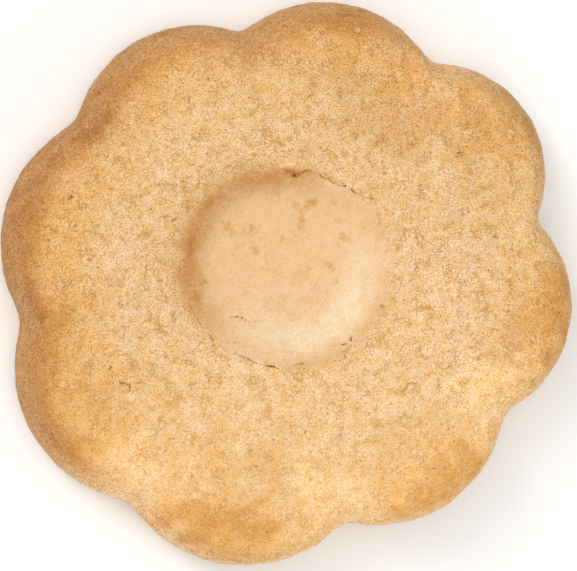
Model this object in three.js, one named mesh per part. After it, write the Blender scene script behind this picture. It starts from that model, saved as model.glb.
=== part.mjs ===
// A baked shortbread flower cookie: eight uneven round petals, a soft browned shoulder
// all round, a gently domed ring of crumb and a smooth shallow well pressed into the
// middle, a little off centre. Millimetres, +Z up. The cookie lies on z = 0, with the
// origin under the middle of its outline.

import * as THREE from "three";

// ---- Driving dimensions ----

const COOKIE_HEIGHT = 12; // crown of the ring, its highest part
const MEAN_REACH = 30; // radius that the section is drawn at, before the petals push it out

// Each petal is an arc. `at` is its direction in degrees from +X, `reach` is how far
// its tip stands from the origin and `round` is the radius of the arc.
const PETALS = [
  { at: 36, reach: 32.3, round: 11.9 },
  { at: 77, reach: 31.1, round: 13.2 },
  { at: 124, reach: 31.2, round: 13.3 },
  { at: 165, reach: 32.0, round: 14.4 },
  { at: 210, reach: 32.3, round: 14.7 },
  { at: 253, reach: 31.4, round: 14.7 },
  { at: 308, reach: 30.1, round: 14.1 },
  { at: 352, reach: 31.7, round: 12.8 },
];
const NOTCH_TIGHTNESS = 80; // higher closes the notches between the petals more sharply

const BASE_EDGE = 1.0; // how far the rounded lower edge runs in under the cookie
const SIDE = {
  foot: 1.5, // height at which the rounded lower edge ends
  top: 8.4, // height at which the side starts to round over
  lean: 0.8, // how far it leans in between the two
  bulge: 0.4, // how far the oven swelled it out from the straight line
};
const SHOULDER_RUN = 3.8; // width of the rounding from the side to the top
const SHOULDER_HEIGHT = 11.45; // height at which that rounding meets the top
const CROWN_RADIUS = 19; // distance of the ring's crown from the middle

const WELL = {
  centre: new THREE.Vector2(-1.75, 2.25),
  across: new THREE.Vector2(23.4, 21.6), // along X and Y, to the inner edge of the lip
  depth: 1.8, // from the lip down to the edge of the floor
  dish: 0.25, // how much lower the middle of the floor is than its edge
  floorShare: 0.6, // radius of the floor, as a share of the well's
  floorShift: new THREE.Vector2(-0.5, 0.5), // the wall is steeper on this side
};
const LIP_HEIGHT = 11.6; // top of the dough just outside the well
const LIP_ROUND = 1.3; // width of the rounding at the well's edge

const NOTCH_VALLEY = 0.8; // how deep the valley runs that comes up from each notch
const VALLEY_START = 18; // radius where those valleys fade out
const LUMPS = { height: 0.09, wavelength: 13 }; // low, broad unevenness of the dough

const SEGMENTS_AROUND = 144;

const WELL_RADIUS = (WELL.across.x + WELL.across.y) / 4;
const FLOOR_RADIUS = WELL_RADIUS * WELL.floorShare;

// ---- Outline ----

/** Distance from the origin to one petal's arc in a direction, or 0 where it misses. */
function petalReach(petal, angle) {
  const middle = petal.reach - petal.round;
  const turn = angle - THREE.MathUtils.degToRad(petal.at);
  const halfChord = petal.round ** 2 - (middle * Math.sin(turn)) ** 2;
  if (halfChord <= 0 || Math.cos(turn) <= 0) return 0;
  return middle * Math.cos(turn) + Math.sqrt(halfChord);
}

/** Radius of the flower outline: the furthest petal, with the notches slightly filled. */
function outlineRadius(angle) {
  const shares = PETALS.map((petal) => (petalReach(petal, angle) / MEAN_REACH) ** NOTCH_TIGHTNESS);
  return MEAN_REACH * shares.reduce((sum, share) => sum + share, 0) ** (1 / NOTCH_TIGHTNESS);
}

const outlineSamples = Array.from({ length: SEGMENTS_AROUND }, (_, index) =>
  outlineRadius((index * 2 * Math.PI) / SEGMENTS_AROUND));
const DEEPEST_NOTCH = Math.min(...outlineSamples);
const FURTHEST_TIP = Math.max(...outlineSamples);

// ---- Section ----

/** The cookie's section from the middle of the base out, up, over and into the well. */
function sectionPoints() {
  const floorHeight = LIP_HEIGHT - WELL.depth;
  const at = (radius, height) => new THREE.Vector2(radius, height);

  const base = new THREE.LineCurve(at(0, 0), at(MEAN_REACH - BASE_EDGE, 0));
  const lowerEdge = new THREE.QuadraticBezierCurve(
    base.v2, at(MEAN_REACH, 0), at(MEAN_REACH, SIDE.foot));
  const side = new THREE.QuadraticBezierCurve(
    lowerEdge.v2, at(MEAN_REACH - SIDE.lean / 2 + 2 * SIDE.bulge, (SIDE.foot + SIDE.top) / 2),
    at(MEAN_REACH - SIDE.lean, SIDE.top));
  const shoulder = new THREE.CubicBezierCurve(
    side.v2, at(MEAN_REACH - SIDE.lean - 0.7, SHOULDER_HEIGHT - 1.0),
    at(MEAN_REACH - SHOULDER_RUN + 1.7, SHOULDER_HEIGHT - 0.15),
    at(MEAN_REACH - SHOULDER_RUN, SHOULDER_HEIGHT));
  const crown = new THREE.SplineCurve([
    shoulder.v3, at(CROWN_RADIUS, COOKIE_HEIGHT), at(WELL_RADIUS + LIP_ROUND, LIP_HEIGHT)]);
  const wall = new THREE.CubicBezierCurve(
    at(WELL_RADIUS + LIP_ROUND, LIP_HEIGHT), at(WELL_RADIUS - 0.7, LIP_HEIGHT - 0.2),
    at(FLOOR_RADIUS + 1.7, floorHeight), at(FLOOR_RADIUS, floorHeight));
  const floor = new THREE.QuadraticBezierCurve(
    wall.v3, at(FLOOR_RADIUS * 0.5, floorHeight - WELL.dish), at(0, floorHeight - WELL.dish));

  const stretches = [
    [base, 1], [lowerEdge, 3], [side, 4], [shoulder, 6], [crown, 5], [wall, 7], [floor, 3]];
  return stretches.flatMap(([curve, steps], index) =>
    curve.getPoints(steps).slice(index === 0 ? 0 : 1));
}

// ---- Relief ----

/** Low swells of the baked dough, the same at a point whichever ring it belongs to. */
function lump(x, y) {
  const turn = (2 * Math.PI) / LUMPS.wavelength;
  const long = Math.sin(turn * (x + 0.4 * y)) * Math.sin(turn * (0.9 * y - 0.3 * x) + 1.1);
  const short = Math.sin(turn * (1.7 * x - 0.6 * y) + 2.3) * Math.sin(turn * (1.5 * y + 0.5 * x));
  return LUMPS.height * (long + 0.5 * short);
}

/** How far the top sinks towards the notch beside a point, 0 along the petals' middles. */
function valley(radius, angle) {
  const emptiness = (FURTHEST_TIP - outlineRadius(angle)) / (FURTHEST_TIP - DEEPEST_NOTCH);
  const reach = THREE.MathUtils.smoothstep(radius, VALLEY_START, MEAN_REACH - SIDE.lean);
  return NOTCH_VALLEY * Math.max(0, emptiness) ** 1.5 * reach;
}

/** Turn the round cookie into the flower, point by point. */
function shapeFlower(geometry) {
  const place = geometry.attributes.position;
  const { smoothstep } = THREE.MathUtils;
  for (let index = 0; index < place.count; index += 1) {
    const x = place.getX(index);
    const y = place.getY(index);
    const z = place.getZ(index);
    const radius = Math.hypot(x, y);
    const angle = Math.atan2(y, x);

    // The well keeps its own oval and centre, and the petals take over towards the edge.
    const petalShare = smoothstep(radius, WELL_RADIUS, MEAN_REACH);
    const wellShare = 1 - smoothstep(radius, WELL_RADIUS, MEAN_REACH - 3);
    const floorShare = 1 - smoothstep(radius, FLOOR_RADIUS, WELL_RADIUS);
    const push = 1 + (outlineRadius(angle) / MEAN_REACH - 1) * petalShare;
    const ovalX = 1 + (WELL.across.x / (2 * WELL_RADIUS) - 1) * wellShare;
    const ovalY = 1 + (WELL.across.y / (2 * WELL_RADIUS) - 1) * wellShare;
    const newX = x * push * ovalX + WELL.centre.x * wellShare + WELL.floorShift.x * floorShare;
    const newY = y * push * ovalY + WELL.centre.y * wellShare + WELL.floorShift.y * floorShare;

    // Relief fades out down the side, so the base stays flat, and inside the smooth well.
    const topShare = smoothstep(z, SIDE.foot, SHOULDER_HEIGHT - 1.5);
    const crumbShare = smoothstep(radius, WELL_RADIUS, WELL_RADIUS + 3);
    const sink = valley(radius, angle) * topShare;
    const swell = lump(newX, newY) * topShare * (0.25 + 0.75 * crumbShare);
    place.setXYZ(index, newX, newY, z - sink + swell);
  }
  place.needsUpdate = true;
}

/** Put the middle of the outline over the origin and the base on z = 0. */
function centreOnBase(geometry) {
  geometry.computeBoundingBox();
  const middle = geometry.boundingBox.getCenter(new THREE.Vector3());
  geometry.translate(-middle.x, -middle.y, -geometry.boundingBox.min.z);
}

// ---- The cookie ----

function makeCookie() {
  const geometry = new THREE.LatheGeometry(sectionPoints(), SEGMENTS_AROUND);
  geometry.rotateX(Math.PI / 2);
  shapeFlower(geometry);
  centreOnBase(geometry);
  geometry.computeVertexNormals();
  const bakedDough = new THREE.MeshStandardMaterial({ color: 0xe9c18b, roughness: 0.9, metalness: 0 });
  const cookie = new THREE.Mesh(geometry, bakedDough);
  cookie.name = "cookie";
  return cookie;
}

const model = new THREE.Group();
model.add(makeCookie());

export default model;
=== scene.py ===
"""A baked shortbread flower cookie, seen from above in soft studio light.

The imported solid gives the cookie's shape. This script gives it its surface: sandy crumb,
open pores, the torn rim of the pressed well, and the browning of petals and side.
Lengths are metres unless a name ends in _mm. The top of the picture is +Y.
"""

import logging
import math
from collections.abc import Iterator
from contextlib import contextmanager
from dataclasses import dataclass, field
from enum import Enum

import bpy
import numpy as np
from mathutils import Matrix, Vector


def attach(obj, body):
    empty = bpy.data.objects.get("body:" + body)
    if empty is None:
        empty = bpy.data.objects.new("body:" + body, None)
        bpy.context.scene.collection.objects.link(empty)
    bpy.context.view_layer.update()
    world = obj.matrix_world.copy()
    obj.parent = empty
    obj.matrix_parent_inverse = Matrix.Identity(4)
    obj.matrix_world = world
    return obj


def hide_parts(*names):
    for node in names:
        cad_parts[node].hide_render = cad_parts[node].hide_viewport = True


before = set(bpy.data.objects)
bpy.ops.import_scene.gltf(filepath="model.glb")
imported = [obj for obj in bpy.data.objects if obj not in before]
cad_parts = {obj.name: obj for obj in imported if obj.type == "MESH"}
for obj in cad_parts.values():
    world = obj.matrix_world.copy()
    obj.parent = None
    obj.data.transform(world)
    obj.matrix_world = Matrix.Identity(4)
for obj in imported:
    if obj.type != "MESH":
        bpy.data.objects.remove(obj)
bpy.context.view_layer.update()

LOG = logging.getLogger("cookie")
MM = 0.001
PHOTO_WIDTH_PX = 577
PHOTO_HEIGHT_PX = 571
SENSOR_MM = 36.0

Pair = tuple[float, float]  # a pixel, a size across and up, or two limits
Colour = tuple[float, float, float, float]
Piece = bpy.types.Object
Tree = bpy.types.NodeTree
Socket = bpy.types.NodeSocket

# Settings that many nodes share
BLEND = {"data_type": "RGBA"}
GLAZE = {"data_type": "RGBA", "blend_type": "MULTIPLY"}
EASED = {"interpolation_type": "SMOOTHSTEP"}


class Mark(str, Enum):
    """What each vertex of the cookie knows about its place, read by the finish."""

    SMOOTH = "smooth"  # 1 in the pressed well, 0 on the crumb
    GRIT = "grit"  # how strongly the sandy grain shows
    GOLD = "gold"  # how golden the oven turned it, with painted shade on the well's upper-left side and away from the side at -70 degrees
    BROWN = "brown"  # how far the oven browned it, with painted shade on the well's upper-left side and along its lower-right rim
    PALE = "pale"  # 1 where the dough is pale, and where highlights are painted: on the well's lower-right slope, on crack lips, in the notches towards the lower right and on the side towards -70 degrees
    WALL = "wall"  # 1 on the side wall, 0 on top
    ASH = "ash"  # 1 low on the wall, which is tinted greyer
    FLECK = "fleck"  # 1 in a toasted fleck of the well
    PIT = "pit"  # how much shade is painted deep in a pore or a crack, from 0 to 1


class Cloud(Enum):
    """The finish's soft patterns, by the size of their features in millimetres."""

    GOLD = 0.9
    CREAM = 1.3
    MOTTLE = 1.7
    PATCH = 5.0


class Zone(str, Enum):
    """A stretch of the surface that a layer of relief covers."""

    CRUMB = "crumb"
    WALL = "wall"
    WELL = "well"
    UNDERSIDE = "underside"


def smooth_step(value: np.ndarray, low: float, high: float) -> np.ndarray:
    """Ease from 0 to 1 between two limits.

    Args:
        value: the numbers to ease.
        low: the number that gives 0.
        high: the number that gives 1, which may be below low.

    Returns:
        The eased share of each number.
    """
    share = np.clip((value - low) / (high - low), 0.0, 1.0)
    return share * share * (3.0 - 2.0 * share)


def wander(place: np.ndarray, wavelength: float, seed: int) -> np.ndarray:
    """A smooth random field, made of a few seeded waves.

    Args:
        place: points, one row each.
        wavelength: typical distance between two crests.
        seed: which field.

    Returns:
        A number for each point, mostly between -1 and 1.
    """
    draw = np.random.default_rng(seed)
    height = np.zeros(len(place))
    waves = 9
    least, most = 0.7, 1.5  # crests of one wave, for each crest of the typical one
    for _ in range(waves):
        heading = draw.normal(size=3)
        heading *= 2 * math.pi / wavelength / np.linalg.norm(heading) * draw.uniform(least, most)
        height += np.sin(place @ heading + draw.uniform(0, 2 * math.pi))
    return height / math.sqrt(waves)


def linear(hex_colour: str) -> Colour:
    """Turn an sRGB hex value into a linear colour, by the curve that the sRGB standard gives.

    Args:
        hex_colour: six hex digits after a hash.

    Returns:
        Linear red, green, blue and an alpha of 1.
    """
    channels = [int(hex_colour[i:i + 2], 16) / 255 for i in (1, 3, 5)]
    return tuple(c / 12.92 if c <= 0.04045 else ((c + 0.055) / 1.055) ** 2.4 for c in channels) + (1.0,)


def deselect_all() -> None:
    """Leave nothing selected, in object mode."""
    if bpy.context.object and bpy.context.object.mode != "OBJECT":
        bpy.ops.object.mode_set(mode="OBJECT")
    bpy.ops.object.select_all(action="DESELECT")


def make_active(piece: Piece) -> None:
    """Select one object alone and make it the active one."""
    deselect_all()
    piece.select_set(True)
    bpy.context.view_layer.objects.active = piece


@contextmanager
def edit_mode() -> Iterator[None]:
    """Edit the active piece's mesh for the length of a with block."""
    bpy.ops.object.mode_set(mode="EDIT")
    yield
    bpy.ops.object.mode_set(mode="OBJECT")


def select_faces(piece: Piece, chosen: np.ndarray) -> None:
    """Select some faces of a piece and nothing else, for the next edit."""
    make_active(piece)
    with edit_mode():
        bpy.ops.mesh.select_mode(type="FACE")
        bpy.ops.mesh.select_all(action="DESELECT")
    piece.data.polygons.foreach_set("select", chosen)


def apply_modifier(piece: Piece, name: str, kind: str, **settings: object) -> None:
    """Add a modifier with its settings and apply it."""
    make_active(piece)
    modifier = piece.modifiers.new(name, kind)
    for key, value in settings.items():
        setattr(modifier, key, value)
    bpy.ops.object.modifier_apply(modifier=name)


def read_rows(items: bpy.types.bpy_prop_collection, what: str) -> np.ndarray:
    """One vector of every vertex or face, a row each."""
    rows = np.empty(len(items) * 3)
    items.foreach_get(what, rows)
    return rows.reshape(-1, 3)


def add_node(tree: Tree, kind: str, links: dict | None = None, values: dict | None = None,
             **settings: object) -> bpy.types.Node:
    """Add one node with its settings, values and incoming links.

    Args:
        tree: the material's node tree.
        kind: the node's type name, without the ShaderNode that all of them start with.
        links: input name or number to the socket that feeds it.
        values: input name or number to its fixed value.
        settings: the node's own properties.

    Returns:
        The new node.
    """
    node = tree.nodes.new("ShaderNode" + kind)
    for name, setting in settings.items():
        setattr(node, name, setting)
    for name, value in (values or {}).items():
        node.inputs[name].default_value = value
    for name, socket in (links or {}).items():
        tree.links.new(socket, node.inputs[name])
    return node


def span(source: Pair, result: Pair = (0.0, 1.0)) -> dict[str, float]:
    """The values of a node that turns one range of numbers into another."""
    return dict(zip(("From Min", "From Max", "To Min", "To Max"), (*source, *result)))


@dataclass
class PhotoCamera:
    """The photograph's camera: a long lens almost straight above, tipped to one side."""

    target: Vector = field(default_factory=lambda: Vector((-0.35 * MM, -0.07 * MM, 5.0 * MM)))
    distance: float = 450 * MM
    tilt_degrees: float = 12.0  # away from straight down
    side_degrees: float = 160.0  # the side it leans out over, from +X
    field_width: float = 62.87 * MM  # what the picture's width spans at the target
    clip_start: float = 10 * MM

    def placement(self) -> Matrix:
        """Work out where the camera stands and how it is turned, with +Y up in the picture."""
        tilt, side = math.radians(self.tilt_degrees), math.radians(self.side_degrees)
        back = Vector((math.sin(tilt) * math.cos(side), math.sin(tilt) * math.sin(side), math.cos(tilt)))
        right = Vector((0.0, 1.0, 0.0)).cross(back).normalized()
        above = back.cross(right)
        turn = Matrix((right, above, back)).transposed().to_4x4()
        return Matrix.Translation(self.target + back * self.distance) @ turn

    def lens_mm(self) -> float:
        """Focal length that makes the picture span the field at the target."""
        return SENSOR_MM * self.distance / self.field_width

    def build(self) -> Piece:
        """Add the camera and make it the scene's own.

        Returns:
            The camera object.
        """
        deselect_all()
        bpy.ops.object.camera_add()
        camera = bpy.context.object
        camera.name = "photo_camera"
        camera.matrix_world = self.placement()
        camera.data.sensor_width = SENSOR_MM
        camera.data.lens = self.lens_mm()
        camera.data.clip_start = self.clip_start
        bpy.context.scene.camera = camera
        return camera

    def spot_under(self, pixel: Pair, piece: Piece) -> Vector:
        """Find the place on a piece that one pixel of the photograph shows.

        Args:
            pixel: across and down in the photograph's frame.
            piece: the object that carries the place.

        Returns:
            The place, in metres.
        """
        step = SENSOR_MM / PHOTO_WIDTH_PX / self.lens_mm()
        across = (pixel[0] + 0.5 - PHOTO_WIDTH_PX / 2) * step
        down = (pixel[1] + 0.5 - PHOTO_HEIGHT_PX / 2) * step
        stand = self.placement()
        ray = (stand.to_3x3() @ Vector((across, -down, -1.0))).normalized()
        found, spot, _, _ = piece.ray_cast(stand.translation, ray)
        if not found:
            raise ValueError(f"pixel {pixel} shows no part of {piece.name}")
        return spot


@dataclass
class Softbox:
    """One large round studio light, aimed at the cookie."""

    name: str
    side_degrees: float  # direction it stands in, from +X
    height_degrees: float  # above the table
    distance: float
    across: float
    watts: float

    def build(self) -> None:
        """Add the light and aim it at the middle of the table."""
        side, height = math.radians(self.side_degrees), math.radians(self.height_degrees)
        place = self.distance * Vector((
            math.cos(height) * math.cos(side), math.cos(height) * math.sin(side), math.sin(height)))
        deselect_all()
        bpy.ops.object.light_add(type="AREA", location=place)
        light = bpy.context.object
        light.name = self.name
        light.data.shape = "DISK"
        light.data.size = self.across
        light.data.energy = self.watts
        light.rotation_euler = place.to_track_quat("Z", "Y").to_euler()


@dataclass
class Studio:
    """The plain pale table, its soft lights and the light of the room."""

    table_across: float = 4.0
    table_colour: str = "#f4f3f1"
    table_roughness: float = 0.9
    room_strength: float = 0.56
    lights: tuple[Softbox, ...] = (
        Softbox("overhead_softbox", 150.0, 82.0, 0.9, 0.9, 3.4),
        Softbox("key_softbox", 135.0, 44.0, 1.6, 0.7, 9.2),
        Softbox("fill_softbox", 290.0, 22.0, 1.4, 0.8, 3.6),
    )

    def build(self) -> None:
        """Add the table, the lights and the room's even light."""
        deselect_all()
        bpy.ops.mesh.primitive_plane_add(size=self.table_across)
        table = bpy.context.object
        table.name = "table"
        table.data.materials.append(self.table_finish())
        for light in self.lights:
            light.build()
        world = bpy.context.scene.world or bpy.data.worlds.new("room")
        bpy.context.scene.world = world
        world.use_nodes = True
        room = world.node_tree.nodes["Background"]
        room.inputs["Color"].default_value = (1.0, 1.0, 1.0, 1.0)
        room.inputs["Strength"].default_value = self.room_strength
        bpy.context.scene.view_settings.view_transform = "Standard"

    def table_finish(self) -> bpy.types.Material:
        """Matt white laminate."""
        finish = bpy.data.materials.new("matt_white_laminate")
        finish.use_nodes = True
        shader = finish.node_tree.nodes["Principled BSDF"]
        shader.inputs["Base Color"].default_value = linear(self.table_colour)
        shader.inputs["Roughness"].default_value = self.table_roughness
        return finish


@dataclass(frozen=True)
class CloudTint:
    """How one of the soft patterns tints the dough."""

    cloud: Cloud
    limits: Pair  # values of the pattern at which the tint starts and is strongest
    strength: float
    tint: Colour


@dataclass(frozen=True)
class Sources:
    """What a finish can read of the cookie, as sockets of its node tree."""

    tree: Tree
    place: Socket
    marks: dict[Mark, Socket]
    clouds: dict[Cloud, Socket]


@dataclass(frozen=True)
class BakedShortbread:
    """Butter shortbread dough, pressed and baked.

    Flour and sugar grains make it sandy and matt, butter makes it slightly translucent,
    and the oven turns it from cream through gold to brown where it stands proud. The tints
    work like a glaze: each one multiplies the colour under it. Some of them are painted
    light and shade: a pale highlight and a browner shade on the well's sides, shade in
    pores, cracks and creases, and a paler side of the top.
    """

    dough: tuple[str, str] = ("#e3be85", "#e0b985")  # of the crumb and of the pressed well
    # pale dough of the crumb and of the well, which also paints the highlights and the painted light
    pale_and_highlight_dough: tuple[str, str] = ("#f9d095", "#e6cca2")
    cloud_tints: tuple[CloudTint, ...] = (
        CloudTint(Cloud.GOLD, (0.56, 0.36), 1.0, linear("#faf0d4")),
        CloudTint(Cloud.PATCH, (0.62, 0.38), 0.3, linear("#faf0d4")),
        CloudTint(Cloud.CREAM, (0.48, 0.82), 1.0, (1.05, 1.10, 1.25, 1.0)),
    )
    clouds_in_well: float = 0.45  # of their strength on the crumb
    gold_tint: str = "#faecca"
    browning: tuple[tuple[float, str], ...] = (
        (0.0, "#ffffff"), (0.4, "#e8d8bf"), (0.8, "#d3b895"), (1.0, "#c2a47c"))
    mottled: Pair = (0.3, 0.7)  # values of the pattern between which the baking changes
    mottled_strength: Pair = (1.35, 0.65)  # of gold and brown, at either of them
    ash_tint: Colour = (0.95, 0.99, 1.06, 1.0)
    fleck_tint: str = "#e4ca92"
    ragged: Pair = (0.35, 0.6)  # values of the pattern between which a fleck thins out
    ragged_strength: Pair = (1.15, 0.65)  # of a fleck, at either of them
    pit_shades: tuple[tuple[Pair, str], ...] = (
        ((0.0, 0.9), "#9c6a2c"), ((0.7, 1.0), "#2b130b"))  # painted shade inside pores and cracks: how deep each tone starts and is full
    grain_mm: float = 0.15  # real grains are finer, this is as fine as a picture pixel shows
    grain_heights: Pair = (0.26, 0.58)  # noise at the foot and at the tip of a grain
    grain_dark: Colour = (0.5, 0.26, 0.02, 1.0)
    grain_light: Colour = (1.11, 1.24, 1.72, 1.0)
    side_grain: tuple[float, ...] = (0.85, 0.85, 0.35)  # drawn out upwards, and coarser than on top
    side_starts: Pair = (0.42, 0.58)  # share of side wall between which the grain turns upright
    finer_share: float = 0.6  # how strong the finer part of each noise is
    clumps_mm: Pair = (1.35, 0.7)
    swirl: Pair = (0.45, 0.75)  # size and reach of what bends the creases, in clumps
    crease_mm: float = 0.096  # from the bottom of a crease to its edge
    creased: Pair = (0.46, 0.64)  # values of the pattern between which the creases open
    crease_strength: float = 0.9
    speck_mm: float = 0.32
    speck_depths: Pair = (0.36, 0.27)  # noise at the edge and at the bottom of a speck
    # painted shade in the creases and specks of the crumb
    hollow_shade_tint: Colour = (0.6, 0.42, 0.08, 1.0)
    relief_mm: float = 0.02
    roughness: Pair = (0.8, 0.5)  # of the crumb and of the pressed well
    ior: float = 1.45
    scatter_share: float = 0.15
    scatter_mm: float = 0.8
    scatter_reach: tuple[float, ...] = (1.0, 0.55, 0.25)  # red light travels furthest in it

    def build(self) -> bpy.types.Material:
        """Make the finish.

        Returns:
            The material.
        """
        finish = bpy.data.materials.new("baked_shortbread")
        finish.use_nodes = True
        tree = finish.node_tree
        shader = tree.nodes["Principled BSDF"]
        place = add_node(tree, "TexCoord").outputs["Object"]
        marks = {mark: add_node(tree, "Attribute", attribute_name=mark.value).outputs["Fac"]
                 for mark in Mark}
        clouds = {cloud: add_node(tree, "TexNoise", {"Vector": place},
                                  {"Scale": 1.0 / (cloud.value * MM), "Detail": 2.0,
                                   "Roughness": self.finer_share}).outputs["Fac"] for cloud in Cloud}
        given = Sources(tree, place, marks, clouds)
        grain = self.grain(given)
        hollows = self.hollows(given)
        colour = self.bake(given, self.lay_dough(given))
        colour = self.sand(given, colour, grain, hollows)
        tree.links.new(self.fleck_and_pit_shade(given, colour), shader.inputs["Base Color"])
        height = add_node(tree, "Math", {0: grain, 1: hollows}, operation="SUBTRACT")
        bump = add_node(tree, "Bump", {"Height": height.outputs[0], "Strength": marks[Mark.GRIT]},
                        {"Distance": self.relief_mm * MM})
        tree.links.new(bump.outputs["Normal"], shader.inputs["Normal"])
        roughness = add_node(tree, "MapRange", {"Value": marks[Mark.SMOOTH]},
                             span((0.0, 1.0), self.roughness))
        tree.links.new(roughness.outputs["Result"], shader.inputs["Roughness"])
        shader.inputs["Subsurface Weight"].default_value = self.scatter_share
        shader.inputs["Subsurface Radius"].default_value = self.scatter_reach
        shader.inputs["Subsurface Scale"].default_value = self.scatter_mm * MM
        shader.inputs["IOR"].default_value = self.ior
        return finish

    def lay_dough(self, given: Sources) -> Socket:
        """The unbaked colours of crumb and pressed well, with golden and creamy clouds.

        Args:
            given: what the finish reads of the cookie.

        Returns:
            The dough's colour.
        """
        tree, marks = given.tree, given.marks
        plain, pale = (add_node(tree, "Mix", {0: marks[Mark.SMOOTH]},
                                {6: linear(crumb), 7: linear(pressed)}, **BLEND).outputs[2]
                       for crumb, pressed in (self.dough, self.pale_and_highlight_dough))
        # the pale dough also paints the highlights and the painted light
        dough = add_node(tree, "Mix", {0: marks[Mark.PALE], 6: plain, 7: pale}, **BLEND)
        rough = add_node(tree, "MapRange", {"Value": marks[Mark.SMOOTH]},
                         span((0.0, 1.0), (1.0, self.clouds_in_well)))
        for cloudy in self.cloud_tints:
            thick = add_node(tree, "MapRange", {"Value": given.clouds[cloudy.cloud]},
                             span(cloudy.limits, (0.0, cloudy.strength)), **EASED)
            share = add_node(tree, "Math",
                             {0: thick.outputs["Result"], 1: rough.outputs["Result"]}, operation="MULTIPLY")
            dough = add_node(tree, "Mix", {0: share.outputs[0], 6: dough.outputs[2]},
                             {7: cloudy.tint}, **GLAZE)
        return dough.outputs[2]

    def bake(self, given: Sources, colour: Socket) -> Socket:
        """Gold and browning that follow the marks, broken up by the clouds.

        Args:
            given: what the finish reads of the cookie.
            colour: the dough's colour.

        Returns:
            The baked colour.
        """
        tree, marks = given.tree, given.marks
        uneven = add_node(tree, "MapRange", {"Value": given.clouds[Cloud.MOTTLE]},
                          span(self.mottled, self.mottled_strength))
        gold, brown = (add_node(tree, "Math", {0: marks[mark], 1: uneven.outputs["Result"]},
                                operation="MULTIPLY", use_clamp=True).outputs[0]
                       for mark in (Mark.GOLD, Mark.BROWN))
        golden = add_node(tree, "Mix", {0: gold, 6: colour}, {7: linear(self.gold_tint)}, **GLAZE)
        toast = add_node(tree, "ValToRGB", {"Fac": brown})
        stops = toast.color_ramp.elements
        for _ in self.browning[2:]:
            stops.new(1.0)
        for stop, (share, tone) in zip(stops, self.browning):
            stop.position = share
            stop.color = linear(tone)
        browned = add_node(tree, "Mix", {6: golden.outputs[2], 7: toast.outputs["Color"]},
                           {0: 1.0}, **GLAZE)
        dull = add_node(tree, "Mix", {0: marks[Mark.ASH], 6: browned.outputs[2]},
                        {7: self.ash_tint}, **GLAZE)
        return dull.outputs[2]

    def grain(self, given: Sources) -> Socket:
        """Sand-like grains, drawn out upwards on the side wall.

        Args:
            given: what the finish reads of the cookie.

        Returns:
            The grain's height, from 0 to 1.
        """
        tree = given.tree
        drawn = add_node(tree, "Mapping", {"Vector": given.place}, {"Scale": self.side_grain})
        top, side = (add_node(tree, "TexNoise", {"Vector": vector},
                              {"Scale": 1.0 / (self.grain_mm * MM), "Detail": 1.0,
                               "Roughness": self.finer_share}).outputs["Fac"]
                     for vector in (given.place, drawn.outputs["Vector"]))
        turned = add_node(tree, "MapRange", {"Value": given.marks[Mark.WALL]},
                          span(self.side_starts))
        grain = add_node(tree, "Mix", {0: turned.outputs["Result"], 2: top, 3: side},
                         data_type="FLOAT")
        height = add_node(tree, "MapRange", {"Value": grain.outputs[0]}, span(self.grain_heights))
        return height.outputs["Result"]

    def hollows(self, given: Sources) -> Socket:
        """Small holes, and creases between clumps of crumb, all fading out in the well.

        Args:
            given: what the finish reads of the cookie.

        Returns:
            How deep in a crease each place lies, from 0 to 1.
        """
        tree, place = given.tree, given.place
        opening = add_node(tree, "MapRange", {"Value": given.clouds[Cloud.MOTTLE]},
                           span(self.creased, (0.0, self.crease_strength)), **EASED)
        size, reach = self.swirl
        lines = []
        for clump in self.clumps_mm:
            swirl = add_node(tree, "TexNoise", {"Vector": place},
                             {"Scale": 1.0 / (size * clump * MM), "Detail": 2.0})
            shift = add_node(tree, "VectorMath", {0: swirl.outputs["Color"]},
                             {1: (0.5, 0.5, 0.5)}, operation="SUBTRACT")
            warped = add_node(tree, "VectorMath", {0: shift.outputs[0], 2: place},
                              {1: (reach * clump * MM,) * 3}, operation="MULTIPLY_ADD")
            cells = add_node(tree, "TexVoronoi", {"Vector": warped.outputs[0]},
                             {"Scale": 1.0 / (clump * MM)}, feature="DISTANCE_TO_EDGE")
            lines.append(add_node(tree, "MapRange", {"Value": cells.outputs["Distance"]},
                                  span((0.0, self.crease_mm / clump), (1.0, 0.0)),
                                  **EASED).outputs["Result"])
        either = add_node(tree, "Math", dict(enumerate(lines)), operation="MAXIMUM")
        creases = add_node(tree, "Math", {0: either.outputs[0], 1: opening.outputs["Result"]},
                           operation="MULTIPLY")
        holes = add_node(tree, "TexNoise", {"Vector": place},
                         {"Scale": 1.0 / (self.speck_mm * MM), "Detail": 1.0, "Roughness": self.finer_share})
        specks = add_node(tree, "MapRange", {"Value": holes.outputs["Fac"]},
                          span(self.speck_depths), **EASED)
        deepest = add_node(tree, "Math", {0: creases.outputs[0], 1: specks.outputs["Result"]},
                           operation="MAXIMUM")
        return add_node(tree, "Math", {0: deepest.outputs[0], 1: given.marks[Mark.GRIT]},
                        operation="MULTIPLY").outputs[0]

    def sand(self, given: Sources, colour: Socket, grain: Socket, hollows: Socket) -> Socket:
        """Creamy tips and darker feet on the grains, and painted shade in the olive-brown creases and
        specks.

        Args:
            given: what the finish reads of the cookie.
            colour: the baked colour.
            grain: the grain's height.
            hollows: how deep in a crease each place lies.

        Returns:
            The sandy colour.
        """
        tree = given.tree
        tint = add_node(tree, "Mix", {0: grain}, {6: self.grain_dark, 7: self.grain_light}, **BLEND)
        sandy = add_node(tree, "Mix",
                         {0: given.marks[Mark.GRIT], 6: colour, 7: tint.outputs[2]}, **GLAZE)
        # painted shade in the creases and specks
        creased = add_node(tree, "Mix", {0: hollows, 6: sandy.outputs[2]},
                           {7: self.hollow_shade_tint}, **GLAZE)
        return creased.outputs[2]

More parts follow.
